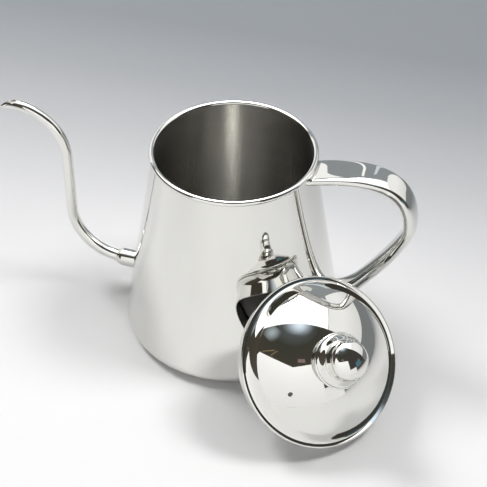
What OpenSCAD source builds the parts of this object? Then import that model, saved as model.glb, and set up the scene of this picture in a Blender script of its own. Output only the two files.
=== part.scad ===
// Gooseneck drip kettle of polished stainless steel, with its lid set down beside it.
// Millimetres. The origin is on the kettle's axis, in the plane it stands on, with +Z up.
// The handle lies toward +X and the spout toward -X. Its lid leans on the wall at the front right.

/* [Body] */
// Height to the top of the rolled rim
body_h = 113.5; // [80:0.5:180]
// Diameter across the rolled rim
rim_d = 86; // [70:1:100]
// Diameter of the rolled edge itself
rim_roll_d = 2.8; // [2:0.2:4]
// Widest diameter of the body, at the heel
heel_d = 117.8; // [106:0.2:150]
// Radius of the heel, between the wall and the bottom
heel_r = 7; // [4:0.5:16]
// Thickness of the sheet
sheet_t = 0.8; // [0.5:0.1:1.2]
// Thickness of the bottom
bottom_t = 1.4; // [0.8:0.1:3]

/* [Spout] */
// Height of the spout's root above the ground
spout_root_z = 21.5; // [17:0.5:30]
// Outer diameter of the tube at its root
spout_root_d = 6.6; // [6:0.1:9]
// Outer diameter of the tube at its tip
spout_tip_d = 5; // [4:0.1:7]
// Thickness of the tube
spout_t = 0.6; // [0.4:0.1:1]
// Distance from the foot of the wall out to the upright run of the tube
spout_out = 35.1; // [31.1:0.1:50]
// Radius of the bend from the root to the upright run
low_bend_r = 27; // [20:0.5:29]
// Radius of the bend from the upright run to the tip
high_bend_r = 27; // [18:0.5:34]
// Height of the tube's crest
spout_crest_z = 112.5; // [100:1:140]
// Radius of the last bend, at the lip
lip_bend_r = 30; // [14:1:40]
// Angle by which the lip dips below level
lip_dip = 23; // [5:1:45]
// How far the mouth is cut back above the lip
lip_cut = 12.5; // [2:0.5:16]
// Outer diameter of the collar at the wall
collar_d = 9.9; // [9.6:0.1:13]
// Length of the collar's straight part, from the heel's widest diameter
collar_l = 6; // [4:0.5:10]
// Length of the collar's rounded shoulder
collar_shoulder = 3.2; // [2:0.2:5]

/* [Handle] */
// Height of the handle's axis where it leaves the rim
arm_z = 108.6; // [60:0.2:150]
// Angle at which the arm rises from the rim
arm_rise = 18.5; // [0:0.5:35]
// Distance from the kettle's axis to the handle's axis at its farthest
handle_reach = 93.1; // [84:0.1:120]
// Height of the farthest place on the handle's axis
bend_z = 88.3; // [55:0.1:120]
// Height of the handle's axis where its foot meets the wall
foot_z = 30.6; // [28:0.2:50]
// Width of the arm at the rim
arm_w = 18.8; // [12:0.2:24]
// Thickness of the arm
arm_t = 4; // [4:0.1:8]
// Width at the bend
bend_w = 13.6; // [10:0.2:20]
// Thickness at the bend
bend_t = 6.8; // [4:0.1:9]
// Width of the lower run
grip_w = 10.8; // [9:0.2:18]
// Thickness of the lower run
grip_t = 7.6; // [5:0.1:12]
// Width of the foot at the wall
foot_w = 15; // [11:0.2:22]
// Height of the foot at the wall
foot_h = 24; // [12:0.5:30]
// Thickness of the handle's tube
handle_t = 1; // [0.6:0.1:1.4]

/* [Lid] */
// How far the flange reaches past the edge of the mouth
lid_lap = 2.8; // [2:0.1:5]
// Width of the flange
flange_w = 2.6; // [2.2:0.1:5]
// Diameter of the flange's folded edge
flange_edge_d = 1.7; // [1.4:0.1:2.4]
// Height of the step between the flange and the dome
lid_step_h = 5.6; // [3:0.2:9]
// How far the step leans in
lid_step_lean = 4; // [1:0.2:6]
// Height of the crown above the flange's seat
crown_h = 19.7; // [12:0.1:32]
// Diameter of the flat on the crown, under the knob
crown_flat_d = 19; // [17:0.5:26]
// Thickness of the lid's sheet
lid_t = 0.7; // [0.5:0.1:1.2]
// Depth of the insert ring below the flange
skirt_h = 10.5; // [7:0.5:16]
// Height over which the insert ring flares out under the flange
skirt_flare_h = 4.5; // [3:0.1:6]
// Gap between the insert ring and the rolled rim, all round
skirt_gap = 0.4; // [0.2:0.1:1]
// Diameter of the vent hole
vent_d = 2.2; // [1:0.1:4]
// Distance of the vent hole from the lid's axis
vent_r = 27.3; // [18:0.2:30]
// Where the vent hole lies round the lid, from its right-hand side
vent_turn = 194; // [0:1:360]

/* [Knob] */
// Diameter of the saucer under the knob's button
saucer_d = 28; // [24:0.5:36]
// Diameter of the saucer's foot
saucer_foot_d = 16; // [13:0.5:17]
// Height of the saucer's edge above the crown
saucer_rise = 3.3; // [2.4:0.1:5]
// Height of the saucer, with the ring round the button's neck
saucer_h = 8.8; // [7.5:0.1:11]
// Height of that ring
saucer_ring_h = 1; // [0.4:0.1:2]
// Diameter of the button that the fingers hold
button_d = 19.6; // [16:0.2:24]
// Height of the button
button_h = 9.9; // [8:0.1:14]
// Radius of the button's rounded edge
button_edge_r = 4.2; // [3:0.1:5]
// Radius of the button's crowned top
button_top_r = 16; // [12:0.5:40]
// Diameter of the button's neck
button_neck_d = 18; // [14:0.2:18.4]
// Diameter of the screw's shank
screw_d = 4; // [3:0.1:5]
// Length of the screw below its head
screw_l = 14; // [13:0.5:16]
// Diameter of the screw's head
screw_head_d = 7.4; // [6:0.2:9]
// Height of the screw's head
screw_head_h = 2.2; // [1.8:0.1:3]
// Outer diameter of the washer
washer_d = 12; // [10:0.5:15]
// Thickness of the washer
washer_t = 1; // [0.6:0.1:2]

/* [Lid set down] */
// Direction from the kettle's axis to the lid
lid_stand_turn = -41.1; // [-80:0.1:-35]
// Direction that the lid faces
lid_face_turn = -40; // [-80:0.1:-35]
// Angle of the lid's axis above level
lid_face_rise = 43.3; // [30:0.1:60]
// Air left under and behind the lid
lid_air = 0.4; // [0.2:0.1:1]

/* [Fits] */
// Radial play between pieces that slide into each other before they are welded or screwed
fit_play = 0.05; // [0.02:0.01:0.2]
// Smoothness of the round pieces
$fn = 96; // [48:8:144]

/* [Hidden] */
eps = 0.01;

// Rolled rim: the roll's inner side is level with the inner face of the wall
roll_r = rim_roll_d / 2;
roll_x = rim_d / 2 - roll_r;
roll_z = body_h - roll_r;
mouth_r = roll_x - roll_r;
wall_top_r = mouth_r + sheet_t;

// The wall is the common tangent from the roll to the heel's circle
heel_x = heel_d / 2 - heel_r;
wall_drop = [heel_x - wall_top_r, heel_r - roll_z];
wall_lean = 90 + atan2(wall_drop[1], wall_drop[0]) + asin(heel_r / norm(wall_drop));
seam_x = heel_x + heel_r * cos(wall_lean);
seam_z = heel_r + heel_r * sin(wall_lean);

// Outer radius of the body at a height: the wall, or the heel below the seam
function wall_r(z) = z < seam_z ? heel_x + sqrt(max(0, heel_r * heel_r - pow(heel_r - z, 2)))
    : seam_x - (z - seam_z) * tan(wall_lean);
// Radius on which a piece seats, at a height: the wall, or the roll where that stands proud
function roll_seat_r(z) = abs(z - roll_z) < roll_r ? roll_x + sqrt(roll_r * roll_r - pow(z - roll_z, 2)) : 0;
function seat_r(z) = max(wall_r(z), roll_seat_r(z));

// Spout: lengths of its runs, along its axis
spout_run_x = heel_d / 2 + spout_out;
spout_hole_r = spout_root_d / 2 + fit_play;
spout_start_x = wall_r(spout_root_z) - sheet_t - fit_play;
root_run = spout_run_x - low_bend_r - spout_start_x;
low_bend_l = low_bend_r * PI / 2;
upright_run = spout_crest_z - high_bend_r - spout_root_z - low_bend_r;
high_bend_l = high_bend_r * PI / 2;
lip_l = lip_bend_r * lip_dip * PI / 180;
at_low_bend = root_run;
at_upright = at_low_bend + low_bend_l;
at_high_bend = at_upright + upright_run;
at_crest = at_high_bend + high_bend_l;
spout_l = at_crest + lip_l;
spout_sides = 20;
spout_step = 2.6;
crest_x = spout_run_x + high_bend_r;

// Handle
handle_sides = 28;
handle_rings = 22;
arm_reach = handle_reach - seat_r(arm_z);
foot_x = wall_r(foot_z);
foot_flare_from = 0.62;
// Squareness of the section: 2 is an ellipse, more is nearer a rectangle
arm_squareness = 3.4;
grip_squareness = 2.5;
// Where the middle points of the handle's two curves lie, as shares of the arm and of the lower run
arm_pull = 0.61;
bend_pull = 1.37;
grip_pull = 0.205;
foot_pull = [0.22, 0.025];

// Lid, in its own frame: the flange's seat is at z = 0 and its axis is Z
lid_r = mouth_r + lid_lap;
flange_edge_r = flange_edge_d / 2;
step_foot_r = lid_r - flange_w;
dome_foot_r = step_foot_r - lid_step_lean;
crown_r = crown_flat_d / 2;
dome_rise = crown_h - lid_step_h;
dome_centre_z = (crown_h * crown_h + crown_r * crown_r - lid_step_h * lid_step_h - dome_foot_r * dome_foot_r)
    / (2 * dome_rise);
dome_r = norm([crown_r, crown_h - dome_centre_z]);
skirt_r = mouth_r - skirt_gap;
skirt_t = lid_t;
skirt_flare_w = lid_r - skirt_r;
skirt_flare_r = (skirt_flare_w * skirt_flare_w + skirt_flare_h * skirt_flare_h) / (2 * skirt_flare_w);
screw_hole_r = screw_d / 2 + fit_play;
saucer_edge_r = 0.9;
saucer_ring_w = 1.4;
saucer_top_z = crown_h + saucer_h;
saucer_edge_z = crown_h + saucer_rise;
saucer_ring_r = button_neck_d / 2 + saucer_ring_w;
button_top_z = saucer_top_z + button_h;
button_edge_x = button_d / 2 - button_edge_r;
button_cap_z = button_top_z - button_top_r;
button_cap_x = button_top_r * button_edge_x / (button_top_r - button_edge_r);
button_edge_z = button_cap_z + sqrt(pow(button_top_r - button_edge_r, 2) - button_edge_x * button_edge_x);
screw_seat_z = crown_h - lid_t - washer_t;
screw_tip_z = screw_seat_z + screw_l;
screw_slot_w = 1.1;
screw_slot_depth = 1.2;

// Where the lid stands: its flange and insert ring clear the ground, and the ring clears the wall
lid_stand_z = max(lid_r * cos(lid_face_rise), skirt_r * cos(lid_face_rise) + skirt_h * sin(lid_face_rise))
    + lid_air;
ring_top_z = lid_stand_z + skirt_r * cos(lid_face_rise) - skirt_h * sin(lid_face_rise);
ring_reach = skirt_r * sin(lid_face_rise) + skirt_h * cos(lid_face_rise);
lid_stand_r = wall_r(ring_top_z) + lid_air / cos(wall_lean) + ring_reach;

// Point on a straight line or cubic curve, and easing between two values
function mix(a, b, t) = a + (b - a) * t;
function ease(t) = t * t * (3 - 2 * t);
function cubic(p, t) = pow(1 - t, 3) * p[0] + 3 * pow(1 - t, 2) * t * p[1]
    + 3 * (1 - t) * t * t * p[2] + pow(t, 3) * p[3];
function cubic_way(p, t) = 3 * pow(1 - t, 2) * (p[1] - p[0]) + 6 * (1 - t) * t * (p[2] - p[1])
    + 3 * t * t * (p[3] - p[2]);

// Closed tube from matching lists of outer and inner rings, each ring a list of points.
// The rings run anticlockwise seen against the way the tube runs.
module tube(outer, inner) {
    rings = len(outer);
    sides = len(outer[0]);
    inner_from = rings * sides;
    function at(base, ring, side) = base + ring * sides + side % sides;
    polyhedron(
        points = concat([for (ring = outer, p = ring) p], [for (ring = inner, p = ring) p]),
        faces = concat(
            [for (k = [0:rings - 2], i = [0:sides - 1])
                [at(0, k, i), at(0, k + 1, i), at(0, k + 1, i + 1)]],
            [for (k = [0:rings - 2], i = [0:sides - 1])
                [at(0, k, i), at(0, k + 1, i + 1), at(0, k, i + 1)]],
            [for (k = [0:rings - 2], i = [0:sides - 1])
                [at(inner_from, k, i), at(inner_from, k + 1, i + 1), at(inner_from, k + 1, i)]],
            [for (k = [0:rings - 2], i = [0:sides - 1])
                [at(inner_from, k, i), at(inner_from, k, i + 1), at(inner_from, k + 1, i + 1)]],
            [for (i = [0:sides - 1])
                [at(0, 0, i), at(0, 0, i + 1), at(inner_from, 0, i)]],
            [for (i = [0:sides - 1])
                [at(0, 0, i + 1), at(inner_from, 0, i + 1), at(inner_from, 0, i)]],
            [for (i = [0:sides - 1])
                [at(0, rings - 1, i), at(inner_from, rings - 1, i), at(0, rings - 1, i + 1)]],
            [for (i = [0:sides - 1])
                [at(0, rings - 1, i + 1), at(inner_from, rings - 1, i), at(inner_from, rings - 1, i + 1)]]
        ),
        convexity = 8
    );
}

// Sheet of the wall in section, cut square to itself where it meets the bottom pan
module wall_section() {
    inward = sheet_t * [cos(wall_lean), sin(wall_lean)];
    foot = [seam_x, seam_z];
    top = [wall_r(roll_z), roll_z];
    polygon([foot, top, top - [sheet_t / cos(wall_lean), 0], foot - inward]);
}

// Sector of the heel's circle that the bottom pan covers, from straight down to the seam
module heel_sector() {
    reach = 2 * heel_r;
    polygon([[0, 0], [0, -reach], [reach, -reach], [reach * cos(wall_lean), reach * sin(wall_lean)]]);
}

// Everything inside the outer face of the body
module body_solid() {
    rotate_extrude() {
        polygon([[0, seam_z], [seam_x, seam_z], [wall_r(roll_z), roll_z], [0, roll_z]]);
        square([heel_x, seam_z]);
        translate([heel_x, heel_r]) intersection() {
            circle(heel_r);
            heel_sector();
        }
        polygon([[heel_x, heel_r], [seam_x, seam_z], [heel_x, seam_z]]);
    }
}

module spout_hole() {
    translate([-heel_d, 0, spout_root_z]) rotate([0, 90, 0]) cylinder(h = heel_d, r = spout_hole_r);
}

module body_shell() {
    color("gainsboro") difference() {
        rotate_extrude() {
            wall_section();
            translate([roll_x, roll_z]) circle(roll_r);
        }
        spout_hole();
    }
}

module base_pan() {
    color("gainsboro") difference() {
        rotate_extrude() {
            square([heel_x, bottom_t]);
            translate([heel_x, heel_r]) intersection() {
                difference() {
                    circle(heel_r);
                    circle(heel_r - sheet_t);
                }
                heel_sector();
            }
        }
        spout_hole();
    }
}

// Axis of the spout: distance from the kettle's axis, height, and heading above level
function spout_at(s) =
    s < at_low_bend ? [spout_start_x + s, spout_root_z, 0] :
    s < at_upright ? spout_low_bend((s - at_low_bend) / low_bend_l * 90) :
    s < at_high_bend ? [spout_run_x, spout_root_z + low_bend_r + s - at_upright, 90] :
    s < at_crest ? spout_high_bend((s - at_high_bend) / high_bend_l * 90) :
    spout_lip_bend((s - at_crest) / lip_l * lip_dip);
function spout_low_bend(turn) =
    [spout_run_x - low_bend_r * (1 - sin(turn)), spout_root_z + low_bend_r * (1 - cos(turn)), turn];
function spout_high_bend(turn) =
    [crest_x - high_bend_r * cos(turn), spout_crest_z - high_bend_r * (1 - sin(turn)), 90 - turn];
function spout_lip_bend(turn) =
    [crest_x + lip_bend_r * sin(turn), spout_crest_z - lip_bend_r * (1 - cos(turn)), -turn];

function spout_outer_r(s) = mix(spout_root_d, spout_tip_d, s / spout_l) / 2;
// Rings lean forward over the last stretch, so that the mouth is cut on a slant above the lip
function spout_lean(s) = ease(max(0, 1 - (spout_l - lip_cut - s) / (3 * lip_cut)));
function spout_point(s, a, inset) =
    let (along = s + spout_lean(s) * lip_cut * (1 - cos(a)) / 2,
         p = spout_at(along),
         r = spout_outer_r(along) - inset)
    [-(p[0] - r * cos(a) * sin(p[2])), -r * sin(a), p[1] + r * cos(a) * cos(p[2])];
function spout_ring(s, inset) = [for (i = [0:spout_sides - 1]) spout_point(s, i * 360 / spout_sides, inset)];

module spout_tube() {
    count = ceil((spout_l - lip_cut) / spout_step);
    stations = [for (k = [0:count]) (spout_l - lip_cut) * k / count];
    color("gainsboro") tube([for (s = stations) spout_ring(s, 0)], [for (s = stations) spout_ring(s, spout_t)]);
}

module spout_collar() {
    collar_r = collar_d / 2;
    neck_r = spout_root_d / 2 + spout_t;
    straight_to = heel_d / 2 + collar_l;
    color("gainsboro") difference() {
        translate([0, 0, spout_root_z]) rotate([0, -90, 0]) rotate_extrude() difference() {
            union() {
                square([collar_r, straight_to]);
                square([neck_r, straight_to + collar_shoulder]);
                intersection() {
                    translate([collar_r - collar_shoulder, straight_to]) circle(collar_shoulder);
                    square([collar_r, straight_to + collar_shoulder]);
                }
            }
            square([spout_hole_r, 2 * straight_to]);
        }
        body_solid();
    }
}

// Axis of the handle in two curves that meet, upright, at its farthest place
arm_curve = [[seat_r(arm_z), arm_z],
             [seat_r(arm_z) + arm_reach * arm_pull * cos(arm_rise), arm_z + arm_reach * arm_pull * sin(arm_rise)],
             [handle_reach, mix(bend_z, arm_z, bend_pull)],
             [handle_reach, bend_z]];
grip_curve = [[handle_reach, bend_z],
              [handle_reach, mix(bend_z, foot_z, grip_pull)],
              [mix(foot_x, handle_reach, foot_pull[0]), mix(foot_z, bend_z, foot_pull[1])],
              [foot_x, foot_z]];

// Half-width, half-thickness and squareness of the handle's section along each curve
function arm_size(t) =
    [mix(arm_w, bend_w, ease(t)) / 2, mix(arm_t, bend_t, ease(t)) / 2, mix(arm_squareness, grip_squareness, t)];
function foot_flare(t) = pow(max(0, (t - foot_flare_from) / (1 - foot_flare_from)), 2);
function grip_size(t) =
    let (run = ease(min(1, t / foot_flare_from)))
    [mix(mix(bend_w, grip_w, run), foot_w, foot_flare(t)) / 2,
     mix(mix(bend_t, grip_t, run), foot_h, foot_flare(t)) / 2, grip_squareness];

function rounded(value, squareness) = sign(value) * pow(abs(value), 2 / squareness);
function handle_point(p, way, size, a, inset) =
    let (across = (size[1] - inset) * rounded(cos(a), size[2]),
         heading = way / norm(way))
    [p[0] - across * heading[1], -(size[0] - inset) * rounded(sin(a), size[2]), p[1] + across * heading[0]];
function handle_ring(curve, t, size, inset) =
    [for (i = [0:handle_sides - 1])
        handle_point(cubic(curve, t), cubic_way(curve, t), size, i * 360 / handle_sides, inset)];
// The end rings are carried level onto the wall
function seated(ring) = [for (p = ring) [sqrt(pow(seat_r(p[2]), 2) - p[1] * p[1]), p[1], p[2]]];
function handle_rings(inset) = concat(
    [seated(handle_ring(arm_curve, 0, arm_size(0), inset))],
    [for (k = [1:handle_rings]) handle_ring(arm_curve, k / handle_rings, arm_size(k / handle_rings), inset)],
    [for (k = [1:handle_rings - 1]) handle_ring(grip_curve, k / handle_rings, grip_size(k / handle_rings), inset)],
    [seated(handle_ring(grip_curve, 1, grip_size(1), inset))]);

module handle() {
    color("gainsboro") tube(handle_rings(0), handle_rings(handle_t));
}

// Sets a piece of the lid down where the lid stands
module set_down() {
    translate([lid_stand_r * cos(lid_stand_turn), lid_stand_r * sin(lid_stand_turn), lid_stand_z])
        rotate([0, 0, lid_face_turn])
        rotate([0, 90 - lid_face_rise, 0])
        rotate([0, 0, 90])
        children();
}

module lid_section() {
    // Flange with its folded edge
    translate([step_foot_r - lid_t, 0]) square([lid_r - flange_edge_r - step_foot_r + lid_t, lid_t]);
    translate([lid_r - flange_edge_r, flange_edge_r]) circle(flange_edge_r);
    // Step up to the dome
    polygon([[step_foot_r - lid_t, 0], [step_foot_r, lid_t / 2], [dome_foot_r, lid_step_h],
             [dome_foot_r - lid_t, lid_step_h]]);
    // Dome, and the flat crown that the knob stands on
    difference() {
        intersection() {
            translate([0, dome_centre_z]) circle(dome_r);
            translate([0, lid_step_h - eps]) square([lid_r, crown_h - lid_step_h + eps]);
        }
        intersection() {
            translate([0, dome_centre_z]) circle(dome_r - lid_t);
            translate([-eps, 0]) square([lid_r, crown_h - lid_t]);
        }
    }
}

module lid_cover() {
    color("gainsboro") set_down() difference() {
        rotate_extrude() lid_section();
        cylinder(h = 2 * crown_h, r = screw_hole_r);
        rotate([0, 0, vent_turn]) translate([vent_r, 0, lid_step_h]) cylinder(h = crown_h, d = vent_d);
    }
}

module lid_skirt() {
    color("gainsboro") set_down() rotate_extrude() {
        translate([skirt_r - skirt_t, -skirt_h]) square([skirt_t, skirt_h - skirt_flare_h]);
        // Flare from the ring out to the underside of the flange
        intersection() {
            translate([skirt_r + skirt_flare_r, -skirt_flare_h]) difference() {
                circle(skirt_flare_r + skirt_t);
                circle(skirt_flare_r);
            }
            translate([skirt_r - skirt_t, -skirt_flare_h])
                square([lid_r - flange_edge_r - skirt_r + skirt_t, skirt_flare_h]);
        }
    }
}

module knob_saucer() {
    edge_x = saucer_d / 2 - saucer_edge_r;
    color("gainsboro") set_down() rotate_extrude() difference() {
        union() {
            polygon([[0, crown_h], [saucer_foot_d / 2, crown_h], [edge_x, saucer_edge_z - saucer_edge_r],
                     [edge_x, saucer_edge_z + saucer_edge_r], [saucer_ring_r, saucer_top_z - saucer_ring_h],
                     [saucer_ring_r, saucer_top_z], [0, saucer_top_z]]);
            translate([edge_x, saucer_edge_z]) circle(saucer_edge_r);
        }
        square([screw_hole_r, 2 * saucer_top_z]);
    }
}

module knob_button() {
    color("gainsboro") set_down() rotate_extrude() difference() {
        union() {
            translate([0, saucer_top_z]) square([button_neck_d / 2, button_edge_z - saucer_top_z]);
            intersection() {
                translate([button_edge_x, button_edge_z]) circle(button_edge_r);
                translate([0, saucer_top_z]) square([button_d, button_h]);
            }
            intersection() {
                translate([0, button_cap_z]) circle(button_top_r);
                translate([0, button_edge_z]) square([button_cap_x, button_h]);
            }
        }
        translate([0, saucer_top_z - eps]) square([screw_hole_r, screw_tip_z + fit_play - saucer_top_z + eps]);
    }
}

module knob_screw() {
    color("silver") set_down() difference() {
        union() {
            translate([0, 0, screw_seat_z]) cylinder(h = screw_l, d = screw_d);
            translate([0, 0, screw_seat_z - screw_head_h]) cylinder(h = screw_head_h, d = screw_head_d);
        }
        for (turn = [0, 90]) {
            rotate([0, 0, turn])
                translate([-screw_head_d / 3, -screw_slot_w / 2, screw_seat_z - screw_head_h - eps])
                cube([screw_head_d * 2 / 3, screw_slot_w, screw_slot_depth]);
        }
    }
}

module knob_washer() {
    color("silver") set_down() difference() {
        translate([0, 0, screw_seat_z]) cylinder(h = washer_t, d = washer_d);
        cylinder(h = crown_h, r = screw_hole_r);
    }
}

body_shell();
base_pan();
spout_collar();
spout_tube();
handle();
lid_cover();
lid_skirt();
knob_saucer();
knob_button();
knob_screw();
knob_washer();
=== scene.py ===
"""Gooseneck drip kettle of polished stainless steel, dressed for rendering.

Lengths are in millimetres in the code and are scaled to metres when a mesh or a light is made.
The frame is the CAD frame: the origin under the body's axis, the handle toward +X, the spout toward -X.
"""
import math

import bmesh
import bpy
from mathutils import Matrix, Vector

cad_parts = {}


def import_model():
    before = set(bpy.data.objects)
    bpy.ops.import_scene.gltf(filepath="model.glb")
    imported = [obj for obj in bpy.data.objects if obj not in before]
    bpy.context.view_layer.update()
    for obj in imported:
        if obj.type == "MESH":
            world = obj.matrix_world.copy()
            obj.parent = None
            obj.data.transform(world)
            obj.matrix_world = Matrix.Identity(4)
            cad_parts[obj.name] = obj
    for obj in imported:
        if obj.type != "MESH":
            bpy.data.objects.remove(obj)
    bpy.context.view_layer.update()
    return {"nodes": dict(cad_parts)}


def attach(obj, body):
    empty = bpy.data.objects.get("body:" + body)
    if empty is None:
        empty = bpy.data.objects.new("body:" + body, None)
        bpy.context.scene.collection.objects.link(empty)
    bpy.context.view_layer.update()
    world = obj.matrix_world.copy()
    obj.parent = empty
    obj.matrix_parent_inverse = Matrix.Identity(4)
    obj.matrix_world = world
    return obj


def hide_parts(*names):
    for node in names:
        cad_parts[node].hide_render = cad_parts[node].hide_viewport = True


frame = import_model()
MM = 0.001
# Distance in metres under which vertices are joined, and the angle past which a drilled piece has a
# sharp edge
WELD_DIST, SHARP_ANGLE = 1e-7, math.radians(40)

# Body, in mm, as in the CAD source
BODY_H, RIM_D, ROLL_R = 113.5, 86.0, 1.4
HEEL_D, HEEL_R, SHEET_T, BOTTOM_T = 117.8, 7.0, 0.8, 1.4
# Play between two pieces that would otherwise share a face
JOINT_AIR = 0.02
# Spout
ROOT_Z, ROOT_D, TIP_D, SPOUT_T = 21.5, 6.6, 5.0, 0.6
SPOUT_OUT, LOW_BEND_R, HIGH_BEND_R, CREST_Z = 35.1, 27.0, 27.0, 112.5
LIP_BEND_R, LIP_DIP, LIP_CUT = 30.0, 23.0, 12.5
COLLAR_D, COLLAR_L, COLLAR_SHOULDER = 9.9, 6.0, 3.2
# Handle
ARM_Z, ARM_RISE, REACH, BEND_Z, FOOT_Z = 108.6, 18.5, 93.1, 88.3, 30.6
ARM_W, ARM_T, BEND_W, BEND_T = 18.8, 4.0, 13.6, 6.8
GRIP_W, GRIP_T, FOOT_W, FOOT_H = 10.8, 7.6, 15.0, 24.0
ARM_PULL, BEND_PULL, GRIP_PULL, FOOT_PULL = 0.61, 1.37, 0.205, (0.22, 0.025)
FLARE_FROM, ARM_SQUARE, GRIP_SQUARE = 0.62, 4.2, 2.3
PRESS_DEPTH, PRESS_WAVES, PRESS_SWELL, PRESS_END = 0.14, 2.6, 0.1, 0.7
SEAT_DEPTH = 0.4
# Lid and knob
LID_LAP, FLANGE_W, EDGE_D, STEP_H, STEP_LEAN = 2.8, 2.6, 1.7, 5.6, 4.0
CROWN_H, CROWN_FLAT_D, LID_T, SKIRT_H, SKIRT_FLARE_H, SKIRT_GAP = 19.7, 19.0, 0.7, 10.5, 4.5, 0.4
VENT_D, VENT_R, VENT_TURN = 2.2, 27.3, 194.0
SAUCER_D, SAUCER_FOOT_D, SAUCER_RISE, SAUCER_H = 28.0, 16.0, 3.3, 8.8
SAUCER_RING_H, SAUCER_RING_W, SAUCER_EDGE_R, SCREW_HOLE_R = 1.0, 1.4, 0.9, 2.05
BUTTON_D, BUTTON_H, BUTTON_EDGE_R, BUTTON_TOP_R, BUTTON_NECK_D = 19.6, 9.9, 4.2, 16.0, 18.0
STAND_TURN, FACE_TURN, FACE_RISE, LID_AIR = -41.1, -40.0, 43.3, 0.4

# Camera, fitted to the rim, the wall and the base: level turn, pitch and roll in radians
CAMERA_AT = (166.3, -494.5, 512.0)
CAMERA_TURN, CAMERA_PITCH, CAMERA_ROLL = math.radians(18.0), 0.7249, 0.0109
FOCAL_PX, FRAME_PX, SENSOR = 1300.0, 487.0, 36.0
# Light: radiance of the cards and of the even room light, where 1 is white, and power of the lamps
TOP_GLOW, TOP_PEAK, SIDE_GLOW, ROOM_LIGHT = 1.6, 30.0, 0.85, 0.08
BOARD_FOOT, BOARD_GLOW, BOARD_FILL = 0.97, 1.25, 0.55
TOP_LAMP, SIDE_LAMP = 2.3, 6.6
WHITE = (1, 1, 1)
# Tent, in mm: its height, and how far it reaches as the camera sees it. Cards stand just off the floor.
TENT_TOP, TENT_LEFT, TENT_RIGHT, TENT_FRONT, TENT_REAR = 860, -1000, 610, -57, 850
DIFFUSER_REAR, PEAK_AT, PEAK_R, FLOOR_AIR = 680, (-40, 540), 300, 1
# Middle of the lid, from which the far cards and the white board are aimed. The board's ends and fold
# are given as directions from there, and its right end runs on as a low board.
SEEN_FROM, SKY_R = (64, -56, 55), 1500
BOARD_FOLDS, BOARD_R, BOARD_TOP = (-133, -77, -40), 400, 385
LOW_BOARD_END, LOW_BOARD_TOP = -19, 120
# Worktop: painted shade, its colour at distances toward the back, in mm, with a turn toward the right,
# darkened to stand in for the light's falloff
FLOOR_R, FLOOR_TURN = 3000, 0.25
FLOOR_PAINTED_FALLOFF = [(-300, (0.98, 0.98, 0.97)), (-40, (0.90, 0.90, 0.90)), (65, (0.72, 0.72, 0.73)),
               (154, (0.52, 0.525, 0.54)), (222, (0.385, 0.40, 0.42)), (290, (0.30, 0.32, 0.34))]
# Room as the metal sees it, from the horizon up to the zenith, the horizon as the camera sees it, and the
# tint of the even room light
ROOM_TONES = [(0.0, (0.10, 0.09, 0.075)), (0.60, (0.07, 0.06, 0.045)), (0.90, (0.055, 0.055, 0.045)),
              (0.975, (0.10, 0.11, 0.11)), (1.0, (0.36, 0.40, 0.46))]
HORIZON = (0.62, 0.65, 0.69)
ROOM_TINT = (0.97, 0.98, 1)


# ---------------------------------------------------------------- small maths

def mix(a, b, t):
    return a + (b - a) * t


def ease(t):
    return t * t * (3 - 2 * t)


def cos_d(angle):
    return math.cos(math.radians(angle))


def sin_d(angle):
    return math.sin(math.radians(angle))


def arc(cx, cz, r, start, end, steps):
    """Points on a circle, closer together toward the two ends so that the end normals are true."""
    angles = [mix(start, end, (1 - math.cos(math.pi * k / steps)) / 2) for k in range(steps + 1)]
    return [(cx + r * cos_d(a), cz + r * sin_d(a)) for a in angles]


def straight(a, b, step=2.5, guard=0.08):
    """Points from a to b with a close pair at each end, which keeps smooth shading flat between them."""
    length = math.dist(a, b)
    inner = [guard / length, 3 * guard / length]
    count = max(1, round(length / step))
    ts = sorted({0.0, 1.0, *inner, *(1 - t for t in inner), *(k / count for k in range(1, count))})
    return [(mix(a[0], b[0], t), mix(a[1], b[1], t)) for t in ts if 0 <= t <= 1]


# ---------------------------------------------------------------- the body's outline

ROLL_X, ROLL_Z = RIM_D / 2 - ROLL_R, BODY_H - ROLL_R
MOUTH_R = ROLL_X - ROLL_R
WALL_TOP_R = MOUTH_R + SHEET_T
HEEL_X = HEEL_D / 2 - HEEL_R
_drop = (HEEL_X - WALL_TOP_R, HEEL_R - ROLL_Z)
WALL_LEAN = 90 + math.degrees(math.atan2(_drop[1], _drop[0]) + math.asin(HEEL_R / math.hypot(*_drop)))
SEAM = (HEEL_X + HEEL_R * cos_d(WALL_LEAN), HEEL_R + HEEL_R * sin_d(WALL_LEAN))
SEAM_IN = (SEAM[0] - SHEET_T * cos_d(WALL_LEAN), SEAM[1] - SHEET_T * sin_d(WALL_LEAN))


def wall_r(z):
    """Outer radius of the body at a height."""
    if z < SEAM[1]:
        return HEEL_X + math.sqrt(max(0.0, HEEL_R ** 2 - (HEEL_R - z) ** 2))
    return SEAM[0] - (z - SEAM[1]) * math.tan(math.radians(WALL_LEAN))


def seat_r(z):
    """Radius on which a piece seats: the wall, or the rolled rim where that stands proud."""
    proud = ROLL_X + math.sqrt(ROLL_R ** 2 - (z - ROLL_Z) ** 2) if abs(z - ROLL_Z) < ROLL_R else 0.0
    return max(wall_r(z), proud)


# ---------------------------------------------------------------- mesh makers

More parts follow.
